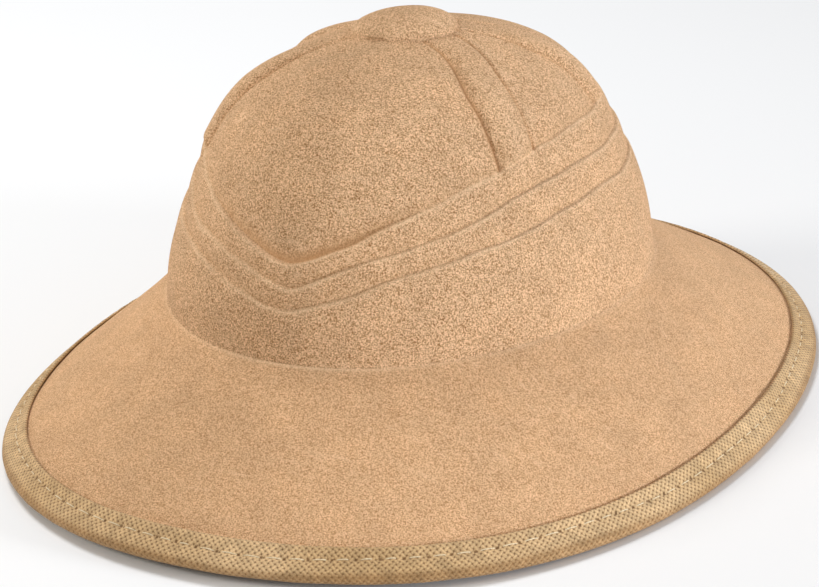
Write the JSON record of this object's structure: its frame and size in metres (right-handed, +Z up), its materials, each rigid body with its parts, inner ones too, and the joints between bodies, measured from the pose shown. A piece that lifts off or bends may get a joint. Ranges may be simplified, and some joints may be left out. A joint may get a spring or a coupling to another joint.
{
  "type": "safari hat",
  "caption": "Safari hat of pressed felt: domed crown with a button, raised welts and V-shaped folds, and a wide sloping brim bound with tape.",
  "frame": {"origin": "on the floor, below the middle of the brim's outline", "axes": "+Z up, -Y towards the front of the hat where the folds meet in a V, +X towards the wearer's left"},
  "size_m": [0.286, 0.3596, 0.1458],
  "materials": {
    "felt": "matt sandy flocked felt",
    "tape": "open-weave khaki bias tape"
  },
  "bodies": {
    "root": {"felt_shell": "felt", "edge_binding": "tape"}
  },
  "joints": []
}
